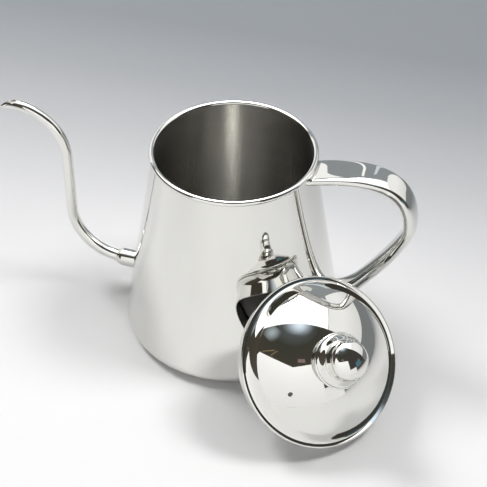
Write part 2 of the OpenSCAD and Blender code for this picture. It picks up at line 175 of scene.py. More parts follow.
def make_object(name, verts, faces, materials, face_material=None, sharp=()):
    """Object from vertices in mm, smooth shaded apart from the edges named in sharp."""
    mesh = bpy.data.meshes.new(name)
    mesh.from_pydata([(x * MM, y * MM, z * MM) for x, y, z in verts], [], faces)
    for material in materials:
        mesh.materials.append(material)
    mesh.polygons.foreach_set("use_smooth", [True] * len(mesh.polygons))
    if face_material:
        mesh.polygons.foreach_set("material_index", face_material)
    if sharp:
        wanted = {tuple(sorted(pair)) for pair in sharp}
        for edge in mesh.edges:
            if tuple(sorted(edge.vertices)) in wanted:
                edge.use_edge_sharp = True
    mesh.validate()
    obj = bpy.data.objects.new(name, mesh)
    bpy.context.scene.collection.objects.link(obj)
    return obj


def lathe(name, runs, materials, segments=256, closed=True, place=None):
    """Turns a section about Z. runs is a list of (points, material index); runs meet at sharp corners
    unless the next one begins with None, which asks for a smooth joint."""
    points, row_material, sharp_rows = [], [], []
    for run, index in runs:
        smooth = run[0] is None
        run = run[1:] if smooth else run
        if points and not smooth:
            sharp_rows.append(len(points) - 1)
        if points:
            run = run[1:]
        row_material += [index] * (len(run) if points else len(run) - 1)
        points += run
    if closed:
        points.pop()
        sharp_rows.append(0)
    rows = len(points)
    verts = [(r * cos_d(360 * k / segments), r * sin_d(360 * k / segments), z)
             for r, z in points for k in range(segments)]
    faces, face_material, sharp = [], [], []
    for row in range(rows if closed else rows - 1):
        below = (row + 1) % rows
        for k in range(segments):
            after = (k + 1) % segments
            faces.append((row * segments + k, row * segments + after,
                          below * segments + after, below * segments + k))
            face_material.append(row_material[row])
    for row in sharp_rows:
        sharp += [(row * segments + k, row * segments + (k + 1) % segments) for k in range(segments)]
    if place is not None:
        verts = [tuple(place @ Vector(v)) for v in verts]
    obj = make_object(name, verts, faces, materials, face_material, sharp)
    face_outward(obj, weld=True)
    return obj


def face_outward(obj, weld=False):
    """Makes the faces look outward. weld first joins the vertices that a turned section has on its axis."""
    work = bmesh.new()
    work.from_mesh(obj.data)
    if weld:
        bmesh.ops.remove_doubles(work, verts=work.verts, dist=WELD_DIST)
    bmesh.ops.recalc_face_normals(work, faces=work.faces)
    work.to_mesh(obj.data)
    work.free()


def sweep(name, rings, materials, cap=True):
    """Skin over closed rings of points, with a flat, sharp-edged cap on each end if asked."""
    sides = len(rings[0])
    verts = [p for ring in rings for p in ring]
    faces = []
    for row in range(len(rings) - 1):
        for k in range(sides):
            after = (k + 1) % sides
            faces.append((row * sides + k, row * sides + after,
                          (row + 1) * sides + after, (row + 1) * sides + k))
    sharp = []
    if cap:
        last = (len(rings) - 1) * sides
        faces.append(tuple(reversed(range(sides))))
        faces.append(tuple(range(last, last + sides)))
        for start in (0, last):
            sharp += [(start + k, start + (k + 1) % sides) for k in range(sides)]
    obj = make_object(name, verts, faces, materials, sharp=sharp)
    face_outward(obj)
    return obj


def drill(obj, at, along, radius, length, lining, steps=48):
    """Cuts a round hole, given in mm, through a piece and gives its wall the lining: the satin finish in
    the body's wall, painted shade in the lid's vent.
    """
    axis = Vector(along).normalized()
    turn = Vector((0, 0, 1)).rotation_difference(axis).to_matrix().to_4x4()
    place = Matrix.Translation(Vector(at)) @ turn
    circle = [(radius * cos_d(360 * k / steps), radius * sin_d(360 * k / steps)) for k in range(steps)]
    rings = [[tuple(place @ Vector((x, y, z))) for x, y in circle] for z in (-length / 2, length / 2)]
    cutter = sweep("cutter", rings, [lining])
    hole = obj.modifiers.new("hole", "BOOLEAN")
    hole.operation, hole.solver, hole.object = "DIFFERENCE", "EXACT", cutter
    hole.material_mode = "TRANSFER"
    graph = bpy.context.evaluated_depsgraph_get()
    cut = bpy.data.meshes.new_from_object(obj.evaluated_get(graph))
    obj.modifiers.clear()
    cut.set_sharp_from_angle(angle=SHARP_ANGLE)
    obj.data = cut
    bpy.data.objects.remove(cutter)


# ---------------------------------------------------------------- materials

def node_tree(name):
    material = bpy.data.materials.new(name)
    material.use_nodes = True
    nodes, links = material.node_tree.nodes, material.node_tree.links
    return material, nodes, links, nodes["Principled BSDF"]


def object_noise(nodes, links, scale, stretch=(1, 1, 1), detail=3.0):
    """Noise fixed to the piece, stretched along its axes."""
    where = nodes.new("ShaderNodeTexCoord")
    mapping = nodes.new("ShaderNodeMapping")
    mapping.inputs["Scale"].default_value = stretch
    noise = nodes.new("ShaderNodeTexNoise")
    noise.inputs["Scale"].default_value = scale
    noise.inputs["Detail"].default_value = detail
    links.new(where.outputs["Object"], mapping.inputs["Vector"])
    links.new(mapping.outputs["Vector"], noise.inputs["Vector"])
    return noise


def ramp(nodes, links, source, low, high, start=0.3, end=0.7):
    """Turns a noise into values or colours between low and high."""
    node = nodes.new("ShaderNodeValToRGB")
    for element, value, at in zip(node.color_ramp.elements, (low, high), (start, end)):
        element.position = at
        element.color = (*value, 1) if isinstance(value, tuple) else (value, value, value, 1)
    links.new(source, node.inputs["Fac"])
    return node


def add_bump(nodes, links, shader, noise, strength, distance):
    bump = nodes.new("ShaderNodeBump")
    bump.inputs["Strength"].default_value = strength
    bump.inputs["Distance"].default_value = distance
    links.new(noise.outputs["Fac"], bump.inputs["Height"])
    links.new(bump.outputs["Normal"], shader.inputs["Normal"])


def polished_steel(name, rough=(0.02, 0.05), tint=(0.755, 0.75, 0.72)):
    """Mirror polish: faint haze from the buffing wheel, and a slow ripple of the sheet."""
    haze_scale, haze_stretch, haze_lift = 55.0, (1, 1, 0.35), 1.05
    ripple_scale, ripple_strength, ripple_depth = 32.0, 0.12, 0.0001
    material, nodes, links, shader = node_tree(name)
    shader.inputs["Metallic"].default_value = 1.0
    haze = object_noise(nodes, links, haze_scale, haze_stretch)
    tone = ramp(nodes, links, haze.outputs["Fac"], tint, tuple(min(1, c * haze_lift) for c in tint))
    links.new(tone.outputs["Color"], shader.inputs["Base Color"])
    gloss = ramp(nodes, links, haze.outputs["Fac"], rough[0], rough[1])
    links.new(gloss.outputs["Color"], shader.inputs["Roughness"])
    ripple = object_noise(nodes, links, ripple_scale, detail=0.0)
    add_bump(nodes, links, shader, ripple, ripple_strength, ripple_depth)
    return material


def satin_steel(name, tint=(0.62, 0.61, 0.58), rough=(0.20, 0.25), spin=0.985):
    """Fine turned finish: hair lines round the axis, and the long highlight that they give."""
    line_scale, line_stretch, line_dark = 30.0, (1.2, 1.2, 60.0), 0.86
    line_strength, line_depth = 0.12, 0.00004
    material, nodes, links, shader = node_tree(name)
    shader.inputs["Metallic"].default_value = 1.0
    shader.inputs["Anisotropic"].default_value = spin
    shader.inputs["Anisotropic Rotation"].default_value = 0.25
    tangent = nodes.new("ShaderNodeTangent")
    tangent.direction_type, tangent.axis = "RADIAL", "Z"
    links.new(tangent.outputs["Tangent"], shader.inputs["Tangent"])
    lines = object_noise(nodes, links, line_scale, line_stretch, detail=4.0)
    tone = ramp(nodes, links, lines.outputs["Fac"], tuple(c * line_dark for c in tint), tint, 0.25, 0.75)
    links.new(tone.outputs["Color"], shader.inputs["Base Color"])
    gloss = ramp(nodes, links, lines.outputs["Fac"], rough[0], rough[1])
    links.new(gloss.outputs["Color"], shader.inputs["Roughness"])
    add_bump(nodes, links, shader, lines, line_strength, line_depth)
    return material


POLISHED = polished_steel("polished_steel")
SATIN = satin_steel("satin_steel")
# A darker copy of the satin finish: painted shade for the undersides of the lid and its insert ring, and
# for the wall of the lid's vent hole
SHADED_UNDERSIDE = satin_steel("satin_underside_painted_shade", tint=(0.36, 0.355, 0.34), rough=(0.30, 0.40), spin=0.6)


# ---------------------------------------------------------------- body pieces

def body_wall():
    """Conical wall and its rolled rim, polished outside and satin inside."""
    roll_start, roll_end, hole_play, hole_reach = -105.0, 180.0, 0.05, 30
    roll = arc(ROLL_X, ROLL_Z, ROLL_R, roll_start, roll_end, 40)
    runs = [
        (straight(SEAM, roll[0]), 0),
        (roll, 0),
        ([None, *straight(roll[-1], SEAM_IN)], 1),
        ([SEAM_IN, SEAM], 1),
    ]
    wall = lathe("body_wall", runs, [POLISHED, SATIN])
    drill(wall, (-HEEL_X, 0, ROOT_Z), (1, 0, 0), ROOT_D / 2 + hole_play, hole_reach, SATIN)
    return wall


def body_base():
    """Pressed bottom pan with its rounded heel."""
    inner_r = HEEL_R - SHEET_T
    heel_foot = math.degrees(math.asin((HEEL_R - BOTTOM_T) / inner_r))
    runs = [
        (straight((0.0, 0.0), (HEEL_X, 0.0), step=6), 0),
        ([None, *arc(HEEL_X, HEEL_R, HEEL_R, -90.0, WALL_LEAN, 24)], 0),
        ([SEAM, SEAM_IN], 1),
        (arc(HEEL_X, HEEL_R, inner_r, WALL_LEAN, -heel_foot, 16), 1),
        (straight((HEEL_X + inner_r * cos_d(heel_foot), BOTTOM_T), (0.0, BOTTOM_T), step=6), 1),
    ]
    return lathe("body_base", runs, [POLISHED, SATIN], closed=False)


# ---------------------------------------------------------------- spout

RUN_X = HEEL_D / 2 + SPOUT_OUT
SPOUT_START = wall_r(ROOT_Z) - SHEET_T - 0.05
LOW_L, HIGH_L = LOW_BEND_R * math.pi / 2, HIGH_BEND_R * math.pi / 2
AT_LOW = RUN_X - LOW_BEND_R - SPOUT_START
AT_UP = AT_LOW + LOW_L
AT_HIGH = AT_UP + CREST_Z - HIGH_BEND_R - ROOT_Z - LOW_BEND_R
AT_CREST = AT_HIGH + HIGH_L
LIP_L = LIP_BEND_R * math.radians(LIP_DIP)
SPOUT_L = AT_CREST + LIP_L


def spout_at(s):
    """Distance from the kettle's axis, height and heading above level, a length s along the spout."""
    if s < AT_LOW:
        return SPOUT_START + s, ROOT_Z, 0.0
    if s < AT_UP:
        turn = (s - AT_LOW) / LOW_L * 90
        return RUN_X - LOW_BEND_R * (1 - sin_d(turn)), ROOT_Z + LOW_BEND_R * (1 - cos_d(turn)), turn
    if s < AT_HIGH:
        return RUN_X, ROOT_Z + LOW_BEND_R + s - AT_UP, 90.0
    if s < AT_CREST:
        turn = (s - AT_HIGH) / HIGH_L * 90
        x, z = RUN_X + HIGH_BEND_R * (1 - cos_d(turn)), CREST_Z - HIGH_BEND_R * (1 - sin_d(turn))
        return x, z, 90 - turn
    turn = (s - AT_CREST) / LIP_L * LIP_DIP
    return RUN_X + HIGH_BEND_R + LIP_BEND_R * sin_d(turn), CREST_Z - LIP_BEND_R * (1 - cos_d(turn)), -turn


def spout_ring(s, inset, sides=40):
    """One ring of the tube. The last rings lean forward, so the mouth is cut on a slant above the lip."""
    lean = ease(min(1.0, max(0.0, 1 - (SPOUT_L - LIP_CUT - s) / (3 * LIP_CUT))))
    ring = []
    for k in range(sides):
        a = 360 * k / sides
        along = s + lean * LIP_CUT * (1 - cos_d(a)) / 2
        x, z, heading = spout_at(along)
        r = mix(ROOT_D, TIP_D, along / SPOUT_L) / 2 - inset
        up = r * cos_d(a)
        ring.append((-(x - up * sin_d(heading)), -r * sin_d(a), z + up * cos_d(heading)))
    return ring


def spout_tube():
    """Tapered tube from inside the wall, round its two bends and out to the lip."""
    end, count, edge = SPOUT_L - LIP_CUT, 170, 0.12
    stations = [end * k / count for k in range(count + 1)]
    outer = [spout_ring(s, 0.0) for s in stations]
    inner = [spout_ring(s, SPOUT_T) for s in reversed(stations)]
    lip = [spout_ring(end + 0.6 * edge, inset) for inset in (edge, SPOUT_T - edge)]
    rings = outer + lip + inner
    return sweep("spout_gooseneck", rings + [rings[0]], [POLISHED], cap=False)


def spout_collar(sides=96):
    """Stepped sleeve: seated on the wall at one end, its shoulder rounded down to the tube at the other."""
    outer_r, neck_r, bore_r = COLLAR_D / 2, ROOT_D / 2 + SPOUT_T, ROOT_D / 2 + JOINT_AIR
    side_x, shoulder_x = HEEL_D / 2, HEEL_D / 2 + COLLAR_L
    lip_x, guard, embed, steps = shoulder_x + COLLAR_SHOULDER, 0.08, 0.1, 14
    section = [(outer_r, None)]
    section += [(outer_r, x) for x in (side_x + 0.5, side_x + 3, shoulder_x - 0.3, shoulder_x - guard)]
    centre = outer_r - COLLAR_SHOULDER
    turn_end = math.degrees(math.acos((neck_r - centre) / COLLAR_SHOULDER))
    section += [(centre + COLLAR_SHOULDER * cos_d(turn_end * k / steps),
                 shoulder_x + COLLAR_SHOULDER * sin_d(turn_end * k / steps)) for k in range(steps + 1)]
    section += [(neck_r - guard, lip_x), (bore_r, lip_x), (bore_r, None)]
    rings = []
    for r, x in section:
        ring = []
        for k in range(sides):
            y, z = r * sin_d(360 * k / sides), ROOT_Z + r * cos_d(360 * k / sides)
            out = math.sqrt((wall_r(z) - embed) ** 2 - y * y) if x is None else x
            ring.append((-out, y, z))
        rings.append(ring)
    return sweep("spout_sleeve", rings, [POLISHED], cap=False)


# ---------------------------------------------------------------- handle

def bezier(p, t):
    return [(1 - t) ** 3 * a + 3 * (1 - t) ** 2 * t * b + 3 * (1 - t) * t * t * c + t ** 3 * d
            for a, b, c, d in zip(*p)]


def bezier_way(p, t):
    way = [3 * (1 - t) ** 2 * (b - a) + 6 * (1 - t) * t * (c - b) + 3 * t * t * (d - c)
           for a, b, c, d in zip(*p)]
    length = math.hypot(*way)
    return [w / length for w in way]


ARM_START = seat_r(ARM_Z)
ARM_REACH = REACH - ARM_START
FOOT_X = wall_r(FOOT_Z)
ARM_WAY = (ARM_REACH * ARM_PULL * cos_d(ARM_RISE), ARM_REACH * ARM_PULL * sin_d(ARM_RISE))
ARM_CURVE = [(ARM_START, ARM_Z),
             (ARM_START + ARM_WAY[0], ARM_Z + ARM_WAY[1]),
             (REACH, mix(BEND_Z, ARM_Z, BEND_PULL)),
             (REACH, BEND_Z)]
GRIP_CURVE = [(REACH, BEND_Z),
              (REACH, mix(BEND_Z, FOOT_Z, GRIP_PULL)),
              (mix(FOOT_X, REACH, FOOT_PULL[0]), mix(FOOT_Z, BEND_Z, FOOT_PULL[1])),
              (FOOT_X, FOOT_Z)]


def arm_size(t):
    """Half width, half thickness and squareness of the section along the arm."""
    square = mix(ARM_SQUARE, GRIP_SQUARE, t)
    return mix(ARM_W, BEND_W, ease(t)) / 2, mix(ARM_T, BEND_T, ease(t)) / 2, square


def grip_size(t):
    """The same along the grip, which flares toward its foot."""
    run = ease(min(1.0, t / FLARE_FROM))
    flare = max(0.0, (t - FLARE_FROM) / (1 - FLARE_FROM)) ** 2
    return (mix(mix(BEND_W, GRIP_W, run), FOOT_W, flare) / 2,
            mix(mix(BEND_T, GRIP_T, run), FOOT_H, flare) / 2, GRIP_SQUARE)


def rounded(value, square):
    """Cosine or sine bent toward a square with rounded corners."""
    return math.copysign(abs(value) ** (2 / square), value)


def pressing(t):
    """Slight unevenness that the press leaves along the top of the arm."""
    swell, fade = ease(min(1, t / PRESS_SWELL)), 1 - ease(min(1, t / PRESS_END))
    return PRESS_DEPTH * swell * fade * cos_d(360 * PRESS_WAVES * t)


def handle_ring(curve, t, size, sides):
    """One ring of the handle's section, square to its way."""
    (x, z), (dx, dz) = bezier(curve, t), bezier_way(curve, t)
    uneven = pressing(t) if curve is ARM_CURVE else 0.0
    ring = []
    for k in range(sides):
        a = 360 * k / sides
        across = size[1] * rounded(cos_d(a), size[2]) + uneven * max(0.0, cos_d(a))
        ring.append((x - across * dz, -size[0] * rounded(sin_d(a), size[2]), z + across * dx))
    return ring


def seated(ring):
    """Carries a ring level into the wall."""
    return [(math.sqrt((seat_r(z) - SEAT_DEPTH) ** 2 - y * y), y, z) for _, y, z in ring]


def handle(sides=72, steps=70):
    """One tube, pressed flat at the rim and deeper below, with a flared foot on the wall."""
    arm = [handle_ring(ARM_CURVE, k / steps, arm_size(k / steps), sides) for k in range(steps + 1)]
    grip = [handle_ring(GRIP_CURVE, k / steps, grip_size(k / steps), sides) for k in range(1, steps + 1)]
    rings = [seated(arm[0]), *arm[1:], *grip[:-1], seated(grip[-1])]
    return sweep("handle_tube", rings, [POLISHED])


# ---------------------------------------------------------------- lid and knob

LID_R, EDGE_R = MOUTH_R + LID_LAP, EDGE_D / 2
STEP_FOOT_R = LID_R - FLANGE_W
DOME_FOOT_R = STEP_FOOT_R - STEP_LEAN
COVE_FOOT = (LID_R - 2.2, 0.85)
COVE_BENDS = ((0.28, 0.42), (0.66, 0.92))
CROWN_R = CROWN_FLAT_D / 2
DOME_Z = (CROWN_H ** 2 + CROWN_R ** 2 - STEP_H ** 2 - DOME_FOOT_R ** 2) / (2 * (CROWN_H - STEP_H))
DOME_R = math.hypot(CROWN_R, CROWN_H - DOME_Z)
SKIRT_R = MOUTH_R - SKIRT_GAP
# Height and distance from the axis at which the leaning lid clears the floor and the wall
STAND_Z = max(LID_R * cos_d(FACE_RISE), SKIRT_R * cos_d(FACE_RISE) + SKIRT_H * sin_d(FACE_RISE)) + LID_AIR
RING_TOP_Z = STAND_Z + SKIRT_R * cos_d(FACE_RISE) - SKIRT_H * sin_d(FACE_RISE)
STAND_R = (wall_r(RING_TOP_Z) + LID_AIR / cos_d(WALL_LEAN)
           + SKIRT_R * sin_d(FACE_RISE) + SKIRT_H * cos_d(FACE_RISE))
LID_PLACE = (Matrix.Translation((STAND_R * cos_d(STAND_TURN), STAND_R * sin_d(STAND_TURN), STAND_Z))
             @ Matrix.Rotation(math.radians(FACE_TURN), 4, "Z")
             @ Matrix.Rotation(math.radians(90 - FACE_RISE), 4, "Y")
             @ Matrix.Rotation(math.radians(90), 4, "Z"))


def lid_cover():
    """Pressed lid: rolled edge, flange, cove up to the dome, and a flat crown under the knob."""
    edge_x, foot_up, inner_r = LID_R - EDGE_R, STEP_H - DOME_Z, DOME_R - LID_T
    foot_angle = math.degrees(math.atan2(foot_up, DOME_FOOT_R))
    crown_angle = math.degrees(math.atan2(CROWN_H - DOME_Z, CROWN_R))
    inner_crown = (CROWN_R - 0.2, CROWN_H - LID_T)
    inner_foot = math.degrees(math.atan2(foot_up, math.sqrt(inner_r ** 2 - foot_up ** 2)))
    inner_top = math.degrees(math.acos(inner_crown[0] / inner_r))
    runs = [
        (straight((SCREW_HOLE_R, CROWN_H), (CROWN_R, CROWN_H)), 0),
        (arc(0, DOME_Z, DOME_R, crown_angle, foot_angle, 60), 0),
        (cove((DOME_FOOT_R, STEP_H), COVE_FOOT, 12), 0),
        ([None, *straight(COVE_FOOT, (edge_x, EDGE_D), guard=0.04)], 0),
        ([None, *arc(edge_x, EDGE_R, EDGE_R, 90, -90, 18)], 0),
        ([None, *straight((edge_x, 0.0), (STEP_FOOT_R - LID_T, 0.0))], 1),
        (straight((STEP_FOOT_R - LID_T, 0.0), (DOME_FOOT_R - LID_T, STEP_H)), 1),
        (arc(0, DOME_Z, inner_r, inner_foot, inner_top, 40), 1),
        (straight(inner_crown, (SCREW_HOLE_R, CROWN_H - LID_T)), 1),
        ([(SCREW_HOLE_R, CROWN_H - LID_T), (SCREW_HOLE_R, CROWN_H)], 1),
    ]
    # The lid's inner faces get the darker satin, which is painted shade
    cover = lathe("lid_cover_dome", runs, [POLISHED, SHADED_UNDERSIDE], segments=288, place=LID_PLACE)
    at = LID_PLACE @ Vector((VENT_R * cos_d(VENT_TURN), VENT_R * sin_d(VENT_TURN), CROWN_H / 2))
    # The vent hole's wall gets the darker satin, painted shade that makes the hole look dark
    drill(cover, at, LID_PLACE.to_3x3() @ Vector((0, 0, 1)), VENT_D / 2, 2 * CROWN_H, SHADED_UNDERSIDE)
    return cover


def cove(top, foot, steps):
    """Slope from the dome's foot that runs out hollow onto the flange."""
    bends = [(mix(top[0], foot[0], across), mix(top[1], foot[1], down)) for across, down in COVE_BENDS]
    curve = [top, *bends, foot]
    return [tuple(bezier(curve, (1 - math.cos(math.pi * k / steps)) / 2)) for k in range(steps + 1)]


def lid_ring():
    """Insert ring that drops into the mouth, flared out at its top to carry the flange."""
    flare_w = LID_R - SKIRT_R
    flare_r = (flare_w ** 2 + SKIRT_FLARE_H ** 2) / (2 * flare_w)
    centre_x, tip_x, inner, top_z = SKIRT_R + flare_r, LID_R - EDGE_R, SKIRT_R - LID_T, -JOINT_AIR
    outer_end = math.degrees(math.acos((tip_x - centre_x) / flare_r))
    inner_end = 180 - math.degrees(math.asin(SKIRT_FLARE_H / (flare_r + LID_T)))
    outer = arc(centre_x, -SKIRT_FLARE_H, flare_r, 180, outer_end, 20)
    under = arc(centre_x, -SKIRT_FLARE_H, flare_r + LID_T, inner_end, 180, 20)
    runs = [
        (straight((inner, -SKIRT_H), (SKIRT_R, -SKIRT_H), step=1), 0),
        (straight((SKIRT_R, -SKIRT_H), (SKIRT_R, -SKIRT_FLARE_H)), 0),
        ([None, *outer], 0),
        ([outer[-1], (tip_x, top_z), (under[0][0], top_z)], 1),
        (under, 1),
        ([None, *straight((inner, -SKIRT_FLARE_H), (inner, -SKIRT_H))], 1),
    ]
    # The ring's inner faces get the darker satin, which is painted shade
    return lathe("lid_ring", runs, [POLISHED, SHADED_UNDERSIDE], place=LID_PLACE)


def knob_saucer():
    """Flared saucer with the ring that the button's neck stands in."""
    edge_x, edge_z, top_z = SAUCER_D / 2 - SAUCER_EDGE_R, CROWN_H + SAUCER_RISE, CROWN_H + SAUCER_H
    ring_r, ring_foot, ring_edge = BUTTON_NECK_D / 2 + SAUCER_RING_W, top_z - SAUCER_RING_H, 0.5
    foot_z = CROWN_H + JOINT_AIR
    under = [(SAUCER_FOOT_D / 2, CROWN_H), (SAUCER_FOOT_D / 2 + 1.5, CROWN_H + 1.1),
             (edge_x - 2.5, edge_z - SAUCER_EDGE_R - 0.4), (edge_x, edge_z - SAUCER_EDGE_R)]
    upper = [(edge_x, edge_z + SAUCER_EDGE_R), (edge_x - 1.2, edge_z + SAUCER_EDGE_R + 0.7),
             (ring_r + 0.9, ring_foot - 1.2), (ring_r, ring_foot)]
    runs = [
        ([(SCREW_HOLE_R, foot_z), (SAUCER_FOOT_D / 2, foot_z)], 0),
        ([tuple(bezier(under, k / 16)) for k in range(17)], 0),
        ([None, *arc(edge_x, edge_z, SAUCER_EDGE_R, -90, 90, 18)], 0),
        ([None, *(tuple(bezier(upper, k / 20)) for k in range(21))], 0),
        (arc(ring_r - ring_edge, top_z - ring_edge, ring_edge, 0, 90, 8), 0),
        ([None, *straight((ring_r - ring_edge, top_z), (SCREW_HOLE_R, top_z))], 0),
        ([(SCREW_HOLE_R, top_z), (SCREW_HOLE_R, foot_z)], 0),
    ]
    return lathe("knob_saucer_turned", runs, [POLISHED], segments=192, place=LID_PLACE)


def knob_button():
    """Button on a short neck, with a rounded edge and a crowned top."""
    base_z, top_z = CROWN_H + SAUCER_H + JOINT_AIR, CROWN_H + SAUCER_H + BUTTON_H
    edge_x, cap_z, neck_r = BUTTON_D / 2 - BUTTON_EDGE_R, top_z - BUTTON_TOP_R, BUTTON_NECK_D / 2
    edge_z = cap_z + math.sqrt((BUTTON_TOP_R - BUTTON_EDGE_R) ** 2 - edge_x ** 2)
    meet = math.degrees(math.atan2(edge_z - cap_z, edge_x))
    neck_turn = math.degrees(math.acos((neck_r - edge_x) / BUTTON_EDGE_R))
    neck_top = edge_z - BUTTON_EDGE_R * sin_d(neck_turn)
    runs = [
        ([(0.0, base_z), (neck_r, base_z)], 0),
        (straight((neck_r, base_z), (neck_r, neck_top), step=1), 0),
        (arc(edge_x, edge_z, BUTTON_EDGE_R, -neck_turn, meet, 40), 0),
        ([None, *arc(0, cap_z, BUTTON_TOP_R, meet, 90, 30)], 0),
    ]
    return lathe("knob_button_turned", runs, [POLISHED], segments=192, closed=False, place=LID_PLACE)


# ---------------------------------------------------------------- studio

RIGHT = Vector((math.cos(CAMERA_TURN), math.sin(CAMERA_TURN), 0))
BACK = Vector((-math.sin(CAMERA_TURN), math.cos(CAMERA_TURN), 0))
UP = Vector((0, 0, 1))


def studio_at(right, back, z):
    """Place given by how far it lies to the right and to the back as the camera sees it."""
    return tuple(RIGHT * right + BACK * back + UP * z)


def studio_from(az, away):
    """Place on the floor in a direction from the lid's middle."""
    return SEEN_FROM[0] + away * cos_d(az), SEEN_FROM[1] + away * sin_d(az)


def upright(start, end, low, high):
    """Corners of an upright card between two places given as (right, back)."""
    return [studio_at(*start, low), studio_at(*start, high), studio_at(*end, low), studio_at(*end, high)]


def fence(start, end, high, low=0.5):
    """Corners of an upright card between two places on the floor."""
    return [(*start, low), (*start, high), (*end, low), (*end, high)]


def level(left, right, front, rear, z):
    """Corners of a level card."""
    return [studio_at(left, front, z), studio_at(right, front, z), studio_at(left, rear, z),
            studio_at(right, rear, z)]


def distance_map(nodes, links, operation, about, values):
    """Maps the distance along a direction, or from a point, onto values: from, to, first, last."""
    where = nodes.new("ShaderNodeTexCoord")
    along = nodes.new("ShaderNodeVectorMath")
    spread = nodes.new("ShaderNodeMapRange")
    along.operation, along.inputs[1].default_value = operation, about
    for socket, value in zip(("From Min", "From Max", "To Min", "To Max"), values):
        spread.inputs[socket].default_value = value
    links.new(where.outputs["Object"], along.inputs[0])
    links.new(along.outputs["Value"], spread.inputs["Value"])
    return spread


def color_stops(nodes, links, source, stops):
    """Colours placed along a value from 0 to 1."""
    tone = nodes.new("ShaderNodeValToRGB")
    while len(tone.color_ramp.elements) < len(stops):
        tone.color_ramp.elements.new(0.5)
    for element, (at, color) in zip(tone.color_ramp.elements, stops):
        element.position = at
        element.color = (*color, 1)
    links.new(source, tone.inputs["Fac"])
    return tone.outputs["Color"]


def emitter(name, strength, color, fade, spot, veil):
    """Glow of a card. fade is (direction, from, to, strength): along that direction, between those two
    distances, the glow goes over to that strength. spot is (centre, radius, strength at the centre).
    A veil adds its glow to what lies behind it."""
    material = bpy.data.materials.new(name)
    material.use_nodes = True
    nodes, links = material.node_tree.nodes, material.node_tree.links
    nodes.clear()
    glow = nodes.new("ShaderNodeEmission")
    glow.inputs["Color"].default_value = (*color, 1)
    glow.inputs["Strength"].default_value = strength
    spread = None
    if fade:
        way, start, end, last = fade
        spread = distance_map(nodes, links, "DOT_PRODUCT", way, (start * MM, end * MM, strength, last))
    elif spot:
        centre, radius, peak = spot
        centre = Vector(centre) * MM
        spread = distance_map(nodes, links, "DISTANCE", centre, (0, radius * MM, peak, strength))
        spread.interpolation_type = "SMOOTHSTEP"
    if spread:
        links.new(spread.outputs["Result"], glow.inputs["Strength"])
    surface = glow.outputs["Emission"]
    if veil:
        clear, both = nodes.new("ShaderNodeBsdfTransparent"), nodes.new("ShaderNodeAddShader")
        links.new(surface, both.inputs[0])
        links.new(clear.outputs["BSDF"], both.inputs[1])
        surface = both.outputs["Shader"]
    out = nodes.new("ShaderNodeOutputMaterial")
    links.new(surface, out.inputs["Surface"])
    return material


def card(name, corners, strength, color=WHITE, fade=None, spot=None, veil=False, lights=False):
    """Stage card that the camera looks past and that casts no shadow. The metal mirrors it, or with
    lights it lights the floor instead."""
    obj = make_object(name, corners, [(0, 1, 3, 2)], [emitter(name, strength, color, fade, spot, veil)])
    obj.visible_camera = False
    obj.visible_glossy = not lights
    obj.visible_diffuse = lights
    obj.visible_shadow = False


def sky_points(corners):
    """Corners far off, given by their azimuths and elevations as the lid sees them."""
    return [(SEEN_FROM[0] + SKY_R * cos_d(el) * cos_d(az), SEEN_FROM[1] + SKY_R * cos_d(el) * sin_d(az),
             SEEN_FROM[2] + SKY_R * sin_d(el)) for az, el in corners]


def overhead_cards():
    """Diffuser over the kettle, brightest toward the rear, and the glow round its front edge."""
    card("diffuser", level(TENT_LEFT, TENT_RIGHT, TENT_FRONT, DIFFUSER_REAR, TENT_TOP), TOP_GLOW,
         spot=(studio_at(*PEAK_AT, TENT_TOP), PEAK_R, TOP_PEAK))
    hem_depth, hem_left, hem_right = 300, -160, 440
    card("diffuser_hem", level(hem_left, hem_right, TENT_FRONT - hem_depth, TENT_FRONT, TENT_TOP), 0.0,
         (0.75, 0.87, 1), spot=(studio_at(120, TENT_FRONT, TENT_TOP), 240, 0.9), veil=True)


def right_cards():
    """Side panel of the tent, and the darker strip under it."""
    panel_x, panel_foot = TENT_RIGHT + 10, 200
    front, rear = (panel_x, TENT_FRONT), (panel_x, TENT_REAR)
    card("side_panel", upright(front, rear, panel_foot, TENT_TOP), SIDE_GLOW,
         fade=(UP, panel_foot, 500, 1.05))
    card("side_skirt", upright(front, rear, FLOOR_AIR, panel_foot), 0.25, (0.92, 0.97, 1))


def front_cards():
    """Folded white board under the lens, with a dark flag and a blue card to the right of it."""
    corners = [studio_from(az, BOARD_R) for az in BOARD_FOLDS]
    for name, start, end in zip(("board_left", "board_right"), corners, corners[1:]):
        sheet = fence(start, end, BOARD_TOP)
        card(name, sheet, BOARD_FOOT, fade=(UP, 0, BOARD_TOP, BOARD_GLOW))
        card(name + "_fill", sheet, BOARD_FILL, lights=True)
    card("board_low", fence(corners[-1], studio_from(LOW_BOARD_END, BOARD_R), LOW_BOARD_TOP), BOARD_FOOT)
    card("dark_flag", upright((420, -600), (420, -80), 110, 700), 0.06, (1, 0.9, 0.8))
    card("blue_card", upright((415, -330), (415, -170), 100, 220), 0.25, (0.35, 0.75, 1))


def rear_cards():
    """Backdrop, and the bright strips that stand in front of it: name, left, right, strength, colour."""
    behind, backdrop_top = TENT_REAR + 40, TENT_TOP + 500
    card("backdrop", upright((-1200, behind), (1200, behind), FLOOR_AIR, backdrop_top), 0.36,
         (0.88, 0.95, 1))
    strips = [
        ("white_curtain", -1200, -150, 1.15, WHITE),
        ("curtain_edge", 62, 100, 1.2, WHITE),
        ("window_strip", 270, 330, 0.85, (0.86, 0.95, 1)),
    ]
    for name, left, right, strength, color in strips:
        card(name, upright((left, TENT_REAR), (right, TENT_REAR), FLOOR_AIR, TENT_TOP), strength, color)


